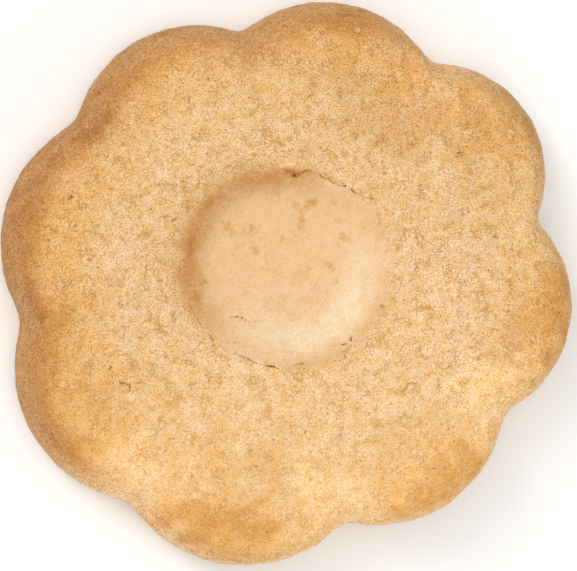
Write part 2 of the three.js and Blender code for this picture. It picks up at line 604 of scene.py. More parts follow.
    def fleck_and_pit_shade(self, given: Sources, colour: Socket) -> Socket:
        """Toasted flecks in the well, and painted shade inside pores and cracks.

        Args:
            given: what the finish reads of the cookie.
            colour: the sandy colour.

        Returns:
            The colour with flecks and painted shade.
        """
        tree, marks = given.tree, given.marks
        uneven = add_node(tree, "MapRange", {"Value": given.clouds[Cloud.GOLD]},
                          span(self.ragged, self.ragged_strength))
        amount = add_node(tree, "Math", {0: marks[Mark.FLECK], 1: uneven.outputs["Result"]},
                          operation="MULTIPLY", use_clamp=True)
        shaded = add_node(tree, "Mix", {0: amount.outputs[0], 6: colour},
                           {7: linear(self.fleck_tint)}, **GLAZE)
        for limits, tone in self.pit_shades:
            share = add_node(tree, "MapRange", {"Value": marks[Mark.PIT]}, span(limits))
            shaded = add_node(tree, "Mix", {0: share.outputs["Result"], 6: shaded.outputs[2]},
                               {7: linear(tone)}, **BLEND)
        return shaded.outputs[2]


@dataclass
class Relief:
    """One layer of unevenness, pushed out of and into the surface."""

    name: str
    zone: Zone
    feature_mm: float
    height_mm: float
    depth: int = 1  # how many finer patterns ride on the first

    def apply_to(self, piece: Piece) -> None:
        """Displace the piece along its normals, in this layer's zone."""
        pattern = bpy.data.textures.new(self.name, "CLOUDS")
        pattern.noise_scale = self.feature_mm * MM
        pattern.noise_depth = self.depth
        apply_modifier(piece, self.name, "DISPLACE", texture=pattern, texture_coords="LOCAL",
                       direction="NORMAL", mid_level=0.5, strength=self.height_mm * MM,
                       vertex_group=self.zone.value)


@dataclass
class Crack:
    """A tear in the baked surface, along the pixels where the photograph shows it."""

    path_px: tuple[Pair, ...]
    width_mm: float = 0.07
    depth_mm: float = 0.25
    # painted shade inside the crack, from 0 to 1
    pit_shade: float = 0.6
    lip_mm: float = 0.0  # raised edge, on the right of the path, or on the left if negative


@dataclass
class Pore:
    """One open hole in the crumb, at the pixel where the photograph shows it."""

    pixel: Pair
    radius_mm: float = 0.13
    depth_mm: float = 0.25
    # painted shade inside the pore, from 0 to 1
    pit_shade: float = 0.6


@dataclass
class Patch:
    """An oval patch of colour, at the pixel where the photograph shows its middle."""

    pixel: Pair
    half_across_mm: float
    half_up_mm: float
    strength: float
    turn_degrees: float = 0.0
    ragged: float = 0.35  # how uneven the edge is, as a share of the patch
    notch: float = 1.3  # how long its unevenness is, in half widths
    edge: Pair = (0.4, 1.3)  # half widths at which the patch is whole and at which it is gone

    def cover(self, place: np.ndarray, middle: Vector) -> np.ndarray:
        """How much of the patch lies on each point, with a soft uneven edge.

        Args:
            place: points, one row each.
            middle: the patch's middle on the cookie.

        Returns:
            The patch's strength at each point.
        """
        turn = math.radians(self.turn_degrees)
        across = (place[:, 0] - middle.x) * math.cos(turn) + (place[:, 1] - middle.y) * math.sin(turn)
        up = (place[:, 1] - middle.y) * math.cos(turn) - (place[:, 0] - middle.x) * math.sin(turn)
        reach = np.hypot(across / (self.half_across_mm * MM), up / (self.half_up_mm * MM))
        narrow = min(self.half_across_mm, self.half_up_mm) * MM
        uneven = reach + self.ragged * wander(place, self.notch * narrow, int(sum(self.pixel)))
        return self.strength * (1 - smooth_step(uneven, *self.edge))


@dataclass
class Crescent:
    """A crescent of colour along the well's sloping side, for its painted highlight and its painted shade.
    """

    direction_degrees: float
    spread_degrees: float  # how far round it stays full
    fade_degrees: float  # how far round it ends
    reach: float  # its middle line, where 1 is the well's rim
    half_width: float

    def cover(self, reach: np.ndarray, degrees: np.ndarray) -> np.ndarray:
        """How much of the crescent lies on each point.

        Args:
            reach: each point's distance from the well's middle, 1 along its rim.
            degrees: each point's direction from there.

        Returns:
            The share, from 0 to 1.
        """
        turn = np.abs((degrees - self.direction_degrees + 180) % 360 - 180)
        along = smooth_step(turn, self.fade_degrees, self.spread_degrees)
        return along * np.exp(-((reach - self.reach) / self.half_width) ** 2)


@dataclass
class Side:
    """How one stretch of the cookie's edge is coloured, each tone from 0 to 1."""

    direction_degrees: float
    brown: float
    gold: float
    pale: float


RIM_CRACKS = (
    Crack(((318.5, 174), (322, 177), (329.5, 180), (335, 183.5), (341, 185)), 0.08, 0.16, 0.7, 0.12),
    Crack(((327, 179), (332, 181)), 0.08, 0.25, 0.9),
    Crack(((341.5, 185.5), (346.5, 186)), 0.1, 0.6, 1.0),
    Crack(((347.5, 187), (352, 190), (356, 194)), 0.09, 0.2, 0.8, 0.08),
    Crack(((293.5, 174.5), (295.5, 177.5)), 0.24, 0.4, 0.85),
    Crack(((295.5, 176), (299.5, 174.5)), 0.2, 0.3, 0.6),
    Crack(((282, 169.5), (288, 171), (294, 174)), 0.26, 0.15, 0.35),
    Crack(((297, 174.5), (302.5, 172.5), (308.5, 170.5), (312, 173)), 0.18, 0.15, 0.45),
    Crack(((197.5, 320.5), (201.5, 324)), 0.08, 0.2, 0.6),
    Crack(((207, 332.5), (211, 337), (216, 342)), 0.08, 0.3, 0.6),
    Crack(((231, 351.5), (240, 355), (248, 358.4), (258, 364)), 0.08, 0.3, 0.6, -0.08),
    Crack(((265.5, 365), (273, 366), (279.5, 369)), 0.08, 0.35, 0.8, -0.1),
    Crack(((290, 364.3), (300.5, 363.6), (306, 361.2)), 0.06, 0.25, 0.6),
    Crack(((339.5, 344.7), (346, 342.8)), 0.08, 0.35, 0.8),
    Crack(((349, 335.5), (351.5, 341.5)), 0.09, 0.4, 0.9),
    Crack(((180, 262), (179.5, 276), (181, 288)), 0.1, 0.15, 0.2),
    Crack(((188, 300), (194, 313), (203, 327)), 0.08, 0.12, 0.2),
    Crack(((218, 344), (227, 350)), 0.07, 0.15, 0.3),
)
WELL_CRACKS = (
    Crack(((229.5, 316.3), (236, 316), (241, 316.5), (247.5, 321), (252, 321.5)), 0.08, 0.25, 0.55, -0.1),
    Crack(((231, 318.5), (238, 319), (247, 322)), 0.12, 0.08, 0.2),
    Crack(((252, 321.5), (260, 321), (267, 319.5)), 0.07, 0.08, 0.2),
    Crack(((317, 274), (318, 280), (314, 287)), 0.06, 0.08, 0.25),
    Crack(((221, 205), (224.5, 208.7)), 0.07, 0.2, 0.55, 0.08),
)
CRUMB_CRACKS = (
    Crack(((117, 380), (124, 383), (130, 385), (128, 392)), 0.08, 0.3, 0.7),
    Crack(((67, 195), (69, 198), (71.5, 195.5), (74.5, 196)), 0.15, 0.25, 0.95),
    Crack(((186, 167), (191, 164), (197, 162)), 0.07, 0.2, 0.45),
    Crack(((183, 181), (188, 177), (193, 175)), 0.07, 0.15, 0.4),
    Crack(((96, 176), (94.5, 180), (91.4, 182)), 0.08, 0.2, 0.5),
    Crack(((109, 188), (113, 191.5)), 0.07, 0.2, 0.5),
    Crack(((146.8, 262.5), (146, 268.7), (145, 278.6)), 0.08, 0.2, 0.45),
    Crack(((142.8, 253), (141.5, 257)), 0.08, 0.2, 0.5),
    Crack(((459.5, 305), (459, 307.5), (457, 312.5)), 0.08, 0.2, 0.45),
    Crack(((463.5, 349), (459, 354), (454, 359.5)), 0.07, 0.2, 0.45),
    Crack(((471, 328), (465.7, 330.4), (460, 334)), 0.07, 0.15, 0.35),
    Crack(((309, 477), (311.5, 481)), 0.08, 0.2, 0.55),
    Crack(((70, 309), (74, 310), (78, 309)), 0.07, 0.2, 0.45),
    Crack(((276, 438.5), (272, 441.5)), 0.08, 0.2, 0.5),
    Crack(((84.5, 145.5), (90, 142), (96, 138.5)), 0.08, 0.25, 0.8),
    Crack(((255, 145.5), (262, 143.5), (270, 142)), 0.1, 0.1, 0.3),
)
PORES = (
    Pore((110, 367), 0.12, 0.4, 1.0), Pore((75, 226)), Pore((459, 152), 0.12, 0.4, 0.95),
    Pore((128.7, 124.8), 0.1, 0.25, 0.85), Pore((122.6, 129), 0.13, 0.2, 0.5),
    Pore((96.5, 155), 0.18, 0.2, 0.5), Pore((138, 159), 0.11, 0.2, 0.5),
    Pore((114.5, 177.5), 0.11, 0.2, 0.5),
    Pore((446, 145), 0.11), Pore((474, 162), 0.12), Pore((355, 61)), Pore((391, 98)),
    Pore((390, 109), 0.11), Pore((407, 106), 0.11), Pore((477, 194)), Pore((463, 214)),
    Pore((496, 236), 0.18, 0.35, 0.8), Pore((510, 268.5), 0.13, 0.3, 0.75), Pore((488.5, 269.7), 0.11),
    Pore((481, 288), 0.12, 0.25, 0.5), Pore((510.4, 283.6), 0.16, 0.25, 0.4), Pore((508.6, 310)),
    Pore((191.2, 475), 0.13, 0.4, 1.0), Pore((198.8, 439.3)), Pore((256.8, 466.5), 0.16),
    Pore((305, 432), 0.13, 0.3, 0.7), Pore((315.3, 498.2), 0.14, 0.35, 0.75),
    Pore((267, 531.7), 0.14, 0.35, 0.8), Pore((339, 513)), Pore((493, 203), 0.11),
    Pore((449.6, 365.7), 0.26, 0.2, 0.5), Pore((452, 388)), Pore((340, 435)), Pore((318, 413), 0.11),
    Pore((327, 413.5), 0.11), Pore((287, 377)), Pore((345, 355), 0.14, 0.3, 0.7),
    Pore((173, 220), 0.22, 0.25, 0.5), Pore((385, 209), 0.11, 0.2, 0.4), Pore((394, 208), 0.1, 0.15, 0.3),
    Pore((379, 215), 0.11, 0.2, 0.35), Pore((387, 241), 0.11, 0.2, 0.4), Pore((403.5, 219), 0.1, 0.2, 0.35),
    Pore((393, 272), 0.1, 0.2, 0.4), Pore((397, 258), 0.1, 0.2, 0.35),
    Pore((410, 280), 0.14, 0.25, 0.5),
    Pore((413, 309.5), 0.15, 0.3, 0.6), Pore((409.5, 325.5), 0.15, 0.2, 0.4), Pore((381, 306), 0.13),
    Pore((115, 214.3), 0.2, 0.2, 0.35), Pore((86.5, 183), 0.15, 0.25, 0.4), Pore((158.4, 184.4), 0.12),
    Pore((140.5, 216), 0.2, 0.2, 0.3), Pore((213, 239.5), 0.09, 0.1, 0.4), Pore((222, 243), 0.09, 0.1, 0.3),
    Pore((283, 236.5), 0.1, 0.08, 0.2), Pore((235, 178.7), 0.11, 0.15, 0.5),
    Pore((356, 340), 0.1, 0.15, 0.4), Pore((235, 341.6), 0.1, 0.12, 0.4),
    Pore((204, 312), 0.1, 0.12, 0.35), Pore((196, 260.5), 0.1, 0.12, 0.45),
)
WELL_FLECKS = (
    Patch((297, 206.5), 0.8, 0.4, 0.75, -35), Patch((302.5, 210), 0.45, 0.4, 0.7),
    Patch((308, 205.5), 0.9, 0.45, 0.8, 35), Patch((312, 202), 0.5, 0.5, 0.95),
    Patch((301, 216), 0.3, 0.6, 0.5),
    Patch((300.5, 225), 0.45, 0.5, 0.8), Patch((226.5, 226.5), 0.95, 0.45, 0.8, -45),
    Patch((249.5, 229.5), 0.75, 0.5, 0.65), Patch((254.5, 248.5), 0.85, 0.4, 0.75, -50),
    Patch((282.5, 237.5), 0.35, 0.3, 0.6), Patch((344, 237.5), 0.75, 0.5, 0.65, -30),
    Patch((333, 201.5), 0.45, 0.3, 0.5, -20), Patch((330, 265), 0.2, 0.6, 0.95, 35),
    Patch((307.5, 266), 0.35, 0.35, 0.55), Patch((335.5, 280.5), 0.3, 0.3, 0.5),
    Patch((202, 282.5), 0.55, 0.35, 0.95, 30), Patch((195, 297), 0.6, 0.5, 0.6),
    Patch((188, 244), 0.8, 1.1, 0.6), Patch((208, 204), 0.8, 0.6, 0.5, 40), Patch((294, 172), 1.4, 0.4, 0.7),
)
TOASTED_PATCHES = (
    Patch((553, 300), 2.4, 5.6, 0.5, -8), Patch((522, 325), 2.2, 3.2, 0.25),
    Patch((447, 478), 5.6, 2.6, 0.5, 32), Patch((58, 325), 2.2, 5.0, 0.3, -4),
    Patch((88, 395), 3.4, 2.4, 0.25, -45), Patch((385, 98), 9.0, 5.0, 0.28, -28),
    Patch((130, 115), 5.0, 3.0, 0.12, 40), Patch((300, 70), 5.0, 3.0, 0.12),
    Patch((222, 522), 6.8, 2.8, 0.6, -8), Patch((478, 122), 4.0, 2.4, 0.4, -40),
    Patch((425, 105), 2.0, 1.6, 0.25), Patch((340, 26), 2.8, 1.3, 0.3), Patch((88, 134), 1.6, 1.1, 0.35, 40),
    Patch((73, 440), 3.2, 2.2, 0.3, -40), Patch((249.6, 456), 0.9, 0.6, 0.2, -20),
    Patch((279, 475), 1.3, 0.9, 0.2, 20), Patch((215, 477), 0.8, 1.0, 0.18),
    Patch((225, 496), 0.6, 0.8, 0.25), Patch((241, 496), 0.5, 1.0, 0.2),
    Patch((449, 275), 0.8, 0.7, 0.18), Patch((503, 334), 1.4, 0.9, 0.2, 30),
    Patch((466, 192), 0.6, 0.6, 0.25),
)
GOLDEN_PATCHES = (
    Patch((92, 385), 8.0, 6.0, 0.8, -40), Patch((215, 468), 6.5, 3.6, 0.6, -10),
    Patch((262, 505), 3.0, 3.2, 0.4), Patch((415, 448), 6.0, 4.2, 0.6, 40),
    Patch((520, 288), 3.4, 6.0, 0.65),
    Patch((45, 250), 3.4, 6.0, 0.85), Patch((72, 215), 3.6, 5.0, 0.5), Patch((70, 330), 4.0, 5.0, 0.6),
    Patch((345, 33), 6.0, 2.4, 0.5), Patch((465, 142), 4.8, 6.0, 0.45, 40),
)
# Pale patches, partly pale dough and partly painted highlights: in the notches towards the lower right and
# on the lips of the rim's cracks
PALE_AND_HIGHLIGHT_PATCHES = (
    Patch((130, 456), 3.4, 2.6, 0.85, 40), Patch((322, 495), 3.2, 4.2, 1.0, 15),
    Patch((480, 384), 4.2, 2.8, 1.0, 30), Patch((413, 72), 2.0, 2.6, 0.8, 30),
    Patch((286.5, 180), 0.5, 0.4, 1.0), Patch((331, 185), 0.8, 0.35, 1.0, -25),
    Patch((252, 330), 6.0, 3.0, 0.3, -25), Patch((543, 192), 1.4, 2.4, 0.6, 10),
    Patch((290, 164), 1.7, 0.5, 1.0, 8), Patch((250, 388), 9.0, 3.6, 0.3),
    Patch((427, 328), 3.6, 5.5, 0.3), Patch((50, 305), 1.4, 2.0, 0.3),
)
# Painted highlight: a paler crescent on the well's lower-right slope, which faces the light
WELL_PAINTED_HIGHLIGHT = Crescent(305, 20, 110, 0.72, 0.16)
# Painted shade: a browner line along the well's lower-right rim
WELL_FAR_RIM_SHADE = Crescent(310, 25, 65, 0.99, 0.08)
# Painted shade: a browner crescent on the well's upper-left slope, which faces away from the light
WELL_PAINTED_SHADE = Crescent(143, 42, 95, 0.94, 0.17)
# The pale of the notches towards the lower right, at 229, 281 and 329 degrees, is painted light.
SIDES = (
    Side(14, 0.0, 0.15, 0.4), Side(36, 0.55, 0.95, 0.0), Side(57, 0.1, 0.2, 0.3),
    Side(77, 0.8, 0.85, 0.0), Side(100, 0.7, 0.25, 0.0), Side(112, 0.8, 0.5, 0.0), Side(124, 0.9, 0.6, 0.0),
    Side(143, 1.0, 0.35, 0.0), Side(165, 1.0, 1.0, 0.0), Side(188, 0.75, 1.0, 0.0),
    Side(203, 0.8, 1.0, 0.0), Side(214, 0.5, 1.0, 0.0), Side(229, 0.0, 0.1, 1.0),
    Side(253, 0.15, 1.0, 0.35), Side(281, 0.0, 0.1, 1.0), Side(308, 0.05, 1.0, 0.55),
    Side(329, 0.0, 0.1, 1.0), Side(350, 0.35, 1.0, 0.1),
)


@dataclass
class Detail:
    """A crack or a pore once it has its place on the cookie."""

    path: np.ndarray  # points on the surface, one row each
    width: float
    depth: float
    # painted shade inside it
    pit_shade: float
    lip: float = 0.0
    end_share: float = 0.35  # of a crack's thickness is left at its ends
    shortest: float = 1e-18  # square metres, so that a lone point has a length to divide by

    def box(self, place: np.ndarray, border: float) -> np.ndarray:
        """Numbers of the points that lie within a border round the detail's bounding box."""
        low, high = self.path.min(axis=0) - border, self.path.max(axis=0) + border
        return np.flatnonzero(np.all((place > low) & (place < high), axis=1))

    def reach(self, place: np.ndarray) -> tuple[np.ndarray, np.ndarray, np.ndarray]:
        """Measure how points lie to the path.

        Args:
            place: points, one row each.

        Returns:
            Their distances, 1 on the right of the path or -1 on its left, and how thick the
            detail is beside each, which is less towards the ends of a crack.
        """
        nearest = np.full(len(place), np.inf)
        side = np.ones(len(place))
        thick = np.ones(len(place))
        ends = self.path[1:] if len(self.path) > 1 else self.path
        pieces = len(ends)
        for index, (start, end) in enumerate(zip(self.path, ends)):
            run = end - start
            length = max(float(run @ run), self.shortest)
            share = np.clip((place - start) @ run / length, 0.0, 1.0)
            gap = place - start - share[:, None] * run
            distance = np.linalg.norm(gap, axis=1)
            closer = distance < nearest
            nearest = np.where(closer, distance, nearest)
            side = np.where(closer, np.sign(gap[:, 0] * run[1] - gap[:, 1] * run[0]), side)
            if len(self.path) > 1:
                along = (index + share) / pieces
                swell = (1 - self.end_share) * np.sqrt(np.sin(math.pi * along))
                thick = np.where(closer, self.end_share + swell, thick)
        return nearest, side, thick


@dataclass(frozen=True)
class Waver:
    """A smooth random unevenness."""

    amount: float
    wavelength: float
    seed: int

    def at(self, place: np.ndarray) -> np.ndarray:
        """The unevenness at each point."""
        return self.amount * wander(place, self.wavelength, self.seed)


@dataclass(frozen=True)
class Oven:
    """How the oven coloured the cookie.

    A point's way is its height plus its distance in from the outline, in millimetres. Each
    band gives the way at which a tone is gone and the way at which it is full, and each
    slope does the same for the distance towards the side at -70 degrees. The top is painted
    paler towards that side, as painted light, and more golden away from it, as painted shade.
    """

    drift: Waver = Waver(0.5, 5 * MM, 32)  # of the way
    mottle: Waver = Waver(0.1, 4 * MM, 33)  # of the tones
    brown_band: Pair = (16.5, 10.5)
    brown_side: float = 0.8
    brown_patch: float = 0.5
    gold_start: Pair = (9.5, 13.5)
    gold_early: float = 3.5  # how much sooner gold starts where the side isn't brown
    gold_end: Pair = (22.5, 16.5)
    pale_band: Pair = (23.0, 6.0)
    painted_light_degrees: float = -70.0  # direction of that side, from +X
    # painted shade: more golden away from that side; painted light: paler towards it
    shaded_side_slope: Pair = (4 * MM, -12 * MM)
    shaded_side_gold: float = 0.15
    painted_light_slope: Pair = (-6 * MM, 16 * MM)
    painted_light_towards: float = 0.22
    underside: Pair = (0.7 * MM, 0.2 * MM)  # height at which it starts and is whole
    underside_brown: float = 0.35
    underside_gold: float = 0.7
    foot_band: Pair = (9.0, 2.0)
    foot_brown: float = 0.2  # more along the underside's edge

    def tones(self, place: np.ndarray, inland: np.ndarray, toast_and_shade: np.ndarray,
              golden: np.ndarray) -> tuple[np.ndarray, ...]:
        """How the oven coloured each point, by its way up the side and in over the shoulder.

        Args:
            place: points, one row each.
            inland: their distances to the cookie's outline.
            toast_and_shade: how much the toasted patches cover them.
            golden: how much the golden patches cover them.

        Returns:
            The brown, the gold and the paleness, each from 0 to 1, painted light and shade included.
        """
        degrees = np.degrees(np.arctan2(place[:, 1], place[:, 0])) % 360
        turns = [side.direction_degrees for side in SIDES]
        brown, gold, pale = (
            np.interp(degrees, turns, [getattr(side, tone) for side in SIDES], period=360)
            for tone in ("brown", "gold", "pale"))
        way = (place[:, 2] + inland) / MM + self.drift.at(place)
        uneven = 1 + self.mottle.at(place)
        early = self.gold_early * (1 - brown)
        brown = self.brown_side * brown * uneven * smooth_step(way, *self.brown_band)
        brown = brown + self.brown_patch * toast_and_shade
        gold = gold * uneven * smooth_step(way + early, *self.gold_start) * smooth_step(way, *self.gold_end)
        # painted light towards -70 degrees and painted shade away from it
        turn = math.radians(self.painted_light_degrees)
        towards = place[:, 0] * math.cos(turn) + place[:, 1] * math.sin(turn)
        gold = np.maximum(gold, golden) + toast_and_shade + self.shaded_side_gold * smooth_step(towards, *self.shaded_side_slope)
        pale = pale * smooth_step(way, *self.pale_band)
        pale = pale + self.painted_light_towards * smooth_step(towards, *self.painted_light_slope)
        under = smooth_step(place[:, 2], *self.underside)
        foot = self.foot_brown * smooth_step(way, *self.foot_band)
        return (brown + (self.underside_brown + foot - brown) * under,
                gold + (self.underside_gold - gold) * under, pale * (1 - under))


@dataclass(frozen=True)
class Tearing:
    """How cracks, pores and the well's rim tear the surface."""

    jag: float = 0.07 * MM  # how far a crack strays from its path
    jag_wavelength: float = 0.6 * MM
    jag_seeds: tuple[int, ...] = (21, 22, 23)  # one for each axis
    width_change: float = 0.3  # of a crack's width, along its path
    reach: float = 6.0  # widths from the path, past which a crack leaves no trace
    lip_middle: float = 2.8  # widths from the path
    lip_half: float = 1.6  # half the lip's own breadth, in widths of the crack
    step: float = 0.06 * MM  # how far the crumb stands up along a torn rim
    step_heights: Pair = (10 * MM, 11 * MM)  # where on the cookie that starts and is whole


@dataclass(frozen=True)
class Shares:
    """How strong the marks of the well, the crumb and the wall are, each from 0 to 1."""

    crumb_grit: float = 0.72
    near_grit: float = 0.2  # less on the petals towards -Y, which are less sandy
    well_grit: float = 0.22
    painted_shade_grit: float = 0.2  # more on the well's upper-left side, where shade is painted
    wall_grit: float = 0.76
    shade_on_crumb: float = 0.35  # of the painted shade reaches the crumb beside the well
    # gold and brown of the painted shade on the well's upper-left slope
    painted_shade_gold: float = 0.8
    painted_shade_brown: float = 0.5
    # brown of the painted shade along the well's lower-right rim
    rim_shade_brown: float = 0.18
    # painted highlight on the raised lips of cracks
    lip_highlight: float = 0.7
    near: Pair = (4 * MM, 20 * MM)  # distance towards -Y at which that side starts and is whole
    ash: Pair = (7.5 * MM, 2.0 * MM)  # height on the wall at which it starts and is whole


@dataclass
class Cookie:
    """The dressed cookie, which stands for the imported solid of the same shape."""

    camera: PhotoCamera
    oven: Oven = Oven()
    tearing: Tearing = Tearing()
    shares: Shares = Shares()
    weld: float = 0.001 * MM
    fold_degrees: float = 40.0  # how far two triangles may fold and still join into one face
    skew_degrees: float = 60.0  # how far that face may be from square
    rounding: int = 2  # how many times the facets are split while they are rounded
    cell: float = 0.35 * MM  # much finer ones take the piece past 200,000 triangles
    underside_share: float = 0.15  # of the underside's faces are kept
    underside_top: float = 0.15 * MM
    facing_down: float = -0.98  # how far up an underside face's direction may point
    well_centre: Pair = (-1.75 * MM, 2.25 * MM)
    well_half: Pair = (11.6 * MM, 10.75 * MM)  # half its size across and up
    rim_tears: tuple[Waver, ...] = (Waver(0.022, 3.5 * MM, 11), Waver(0.012, 1.2 * MM, 12))
    rim_softness: tuple[Pair, ...] = (
        (0, 0.1), (25, 0.04), (80, 0.04), (105, 0.1), (130, 0.14), (200, 0.13), (225, 0.05), (285, 0.05),
        (305, 0.1))  # direction from the well's middle, and half the width of its edge
    rim_bulge: tuple[Pair, ...] = (
        (100, 0.0), (120, 0.07), (142, 0.07), (157, 0.04), (195, 0.03), (210, 0.0))  # how far it bows out
    rim_run: Pair = (-1.1, 0.6)  # half widths of the edge, from the well to whole crumb
    torn: Pair = (0.08, 0.05)  # half widths at which an edge is whole and at which it is torn
    side_heights: Pair = (11.2 * MM, 8.4 * MM)  # where the side wall starts and is whole
    side_inland: Pair = (8 * MM, 5 * MM)  # the same, by distance in from the outline
    top_heights: Pair = (8 * MM, 9 * MM)  # where the top starts and is whole
    foot_heights: Pair = (0.1 * MM, 1.5 * MM)  # where the underside ends and the side is whole
    fade_steps: int = 12  # in a zone's fading border
    open_crumb: Pair = (1.06, 2 * MM)  # random pores lie past this reach of the well and this height
    random_pores: int = 150
    pore_radii_mm: Pair = (0.08, 0.14)
    # painted shade inside the random pores
    pore_depths_mm: Pair = (0.1, 0.25)
    pore_shades: Pair = (0.25, 0.6)
    seed: int = 7
    split_margins: tuple[float, ...] = (2.0, 1.3, 1.0)  # in widths of a detail, the last for cracks only
    split_faces: float = 0.6  # faces more, so that those on the border are split too
    relief: tuple[Relief, ...] = (
        Relief("crumb_swells", Zone.CRUMB, 3.2, 0.30),
        Relief("crumb_lumps", Zone.CRUMB, 1.4, 0.26, depth=2),
        Relief("crumb_grains", Zone.CRUMB, 0.62, 0.22, depth=2),
        Relief("wall_swells", Zone.WALL, 2.4, 0.25),
        Relief("wall_grains", Zone.WALL, 0.55, 0.16, depth=2),
        Relief("well_swells", Zone.WELL, 4.0, 0.16),
        Relief("well_grains", Zone.WELL, 1.0, 0.04, depth=2),
        Relief("tray_dents", Zone.UNDERSIDE, 2.6, 0.25, depth=2),
    )

    def build(self) -> Piece:
        """Shape and dress the cookie.

        Returns:
            The finished piece.
        """
        piece = self.copy_solid()
        self.resurface(piece)
        details = self.find_details(piece)
        self.refine(piece, details)
        self.group_zones(piece)
        for layer in self.relief:
            layer.apply_to(piece)
        pits, lips = self.carve(piece, details)
        piece.vertex_groups.clear()
        self.write_marks(piece, pits, lips)
        piece.data.materials.clear()
        piece.data.materials.append(BakedShortbread().build())
        deselect_all()
        piece.data.shade_smooth()
        return piece

    def copy_solid(self) -> Piece:
        """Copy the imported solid, weld its loose triangles and join them into four-sided faces."""
        make_active(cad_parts["cookie"])
        bpy.ops.object.duplicate()
        piece = bpy.context.object
        piece.name = "shortbread_flower"
        make_active(piece)
        with edit_mode():
            bpy.ops.mesh.select_all(action="SELECT")
            bpy.ops.mesh.remove_doubles(threshold=self.weld)
            bpy.ops.mesh.tris_convert_to_quads(face_threshold=math.radians(self.fold_degrees),
                                               shape_threshold=math.radians(self.skew_degrees))
        return piece

    def resurface(self, piece: Piece) -> None:
        """Round the facets off, cover the form with small even faces and thin out the underside."""
        apply_modifier(piece, "round_off", "SUBSURF", levels=self.rounding, render_levels=self.rounding)
        apply_modifier(piece, "even_faces", "REMESH", mode="VOXEL", voxel_size=self.cell,
                       use_smooth_shade=True)
        centre, normal = (read_rows(piece.data.polygons, what) for what in ("center", "normal"))
        select_faces(piece, (centre[:, 2] < self.underside_top) & (normal[:, 2] < self.facing_down))
        with edit_mode():
            bpy.ops.mesh.decimate(ratio=self.underside_share)

    def find_details(self, piece: Piece) -> list[Detail]:
        """Give every crack and pore its place on the cookie, and scatter the small pores.

        Args:
            piece: the cookie before its relief.

        Returns:
            All cracks and pores, in metres.
        """
        details = []
        for crack in RIM_CRACKS + WELL_CRACKS + CRUMB_CRACKS:
            path = np.array([self.camera.spot_under(pixel, piece) for pixel in crack.path_px])
            details.append(Detail(path, crack.width_mm * MM, crack.depth_mm * MM, crack.pit_shade,
                                  crack.lip_mm * MM))
        for pore in PORES:
            path = np.array([self.camera.spot_under(pore.pixel, piece)])
            details.append(Detail(path, pore.radius_mm * MM, pore.depth_mm * MM, pore.pit_shade))
        draw = np.random.default_rng(self.seed)
        place = read_rows(piece.data.vertices, "co")
        reach, height = self.open_crumb
        open_crumb = np.flatnonzero((self.well_reach(place) > reach) & (place[:, 2] > height))
        for spot in draw.choice(open_crumb, self.random_pores, replace=False):
            radius, depth, pit_shade = (draw.uniform(*limits) for limits in (
                self.pore_radii_mm, self.pore_depths_mm, self.pore_shades))
            details.append(Detail(place[[spot]], radius * MM, depth * MM, pit_shade))
        return details

    def refine(self, piece: Piece, details: list[Detail]) -> None:
        """Split the faces round every crack and pore twice, and those along the cracks once more."""
        cracks = [detail for detail in details if len(detail.path) > 1]
        for level, (margin, chosen) in enumerate(zip(self.split_margins, (details, details, cracks))):
            spare = self.split_faces * (self.cell / 2 ** level)
            centre = read_rows(piece.data.polygons, "center")
            near = np.zeros(len(centre), dtype=bool)
            for detail in chosen:
                border = margin * detail.width + self.tearing.jag + spare
                inside = detail.box(centre, border)
                distance, _, _ = detail.reach(centre[inside])
                near[inside[distance < border]] = True
            select_faces(piece, near)
            with edit_mode():
                bpy.ops.mesh.subdivide(number_cuts=1)

    def well_reach(self, place: np.ndarray) -> np.ndarray:
        """Distance from the well's middle as a share of its size, 1 along its torn rim."""
        across = (place[:, 0] - self.well_centre[0]) / self.well_half[0]
        up = (place[:, 1] - self.well_centre[1]) / self.well_half[1]
        tears = sum(tear.at(place) for tear in self.rim_tears)
        return np.hypot(across, up) + tears - np.interp(
            self.well_degrees(place), *zip(*self.rim_bulge), period=360)

    def side_share(self, place: np.ndarray) -> np.ndarray:
        """How far each point belongs to the side wall, from 0 to 1."""
        low = smooth_step(place[:, 2], *self.side_heights)
        return low * smooth_step(self.inland(place), *self.side_inland)

    def rim_edge(self, place: np.ndarray, reach: np.ndarray) -> tuple[np.ndarray, np.ndarray]:
        """How far outside the well's edge each point lies.

        Args:
            place: points, one row each.
            reach: their distance from the well's middle.

        Returns:
            The share outside, from 0 to 1, and how torn the edge is beside each point.
        """
        soft = np.interp(self.well_degrees(place), *zip(*self.rim_softness), period=360)
        return smooth_step((reach - 1) / soft, *self.rim_run), smooth_step(soft, *self.torn)

    def well_degrees(self, place: np.ndarray) -> np.ndarray:
        """Direction of each point from the well's middle, in degrees from +X."""
        across, up = place[:, 0] - self.well_centre[0], place[:, 1] - self.well_centre[1]
        return np.degrees(np.arctan2(up, across)) % 360

    def group_zones(self, piece: Piece) -> None:
        """Give each zone a vertex group that fades out into its neighbours."""
        place = read_rows(piece.data.vertices, "co")
        above = 1 - self.side_share(place)
        crumb, _ = self.rim_edge(place, self.well_reach(place))
        lifted = smooth_step(place[:, 2], *self.foot_heights)
        shares = {
            Zone.CRUMB: above * crumb,
            Zone.WALL: (1 - above) * lifted,
            Zone.WELL: above * (1 - crumb),
            Zone.UNDERSIDE: 1 - lifted,
        }
        for zone, share in shares.items():
            group = piece.vertex_groups.new(name=zone.value)
            level = np.rint(share * self.fade_steps).astype(int)
            for step in range(1, self.fade_steps + 1):
                group.add(np.flatnonzero(level == step).tolist(), step / self.fade_steps, "REPLACE")

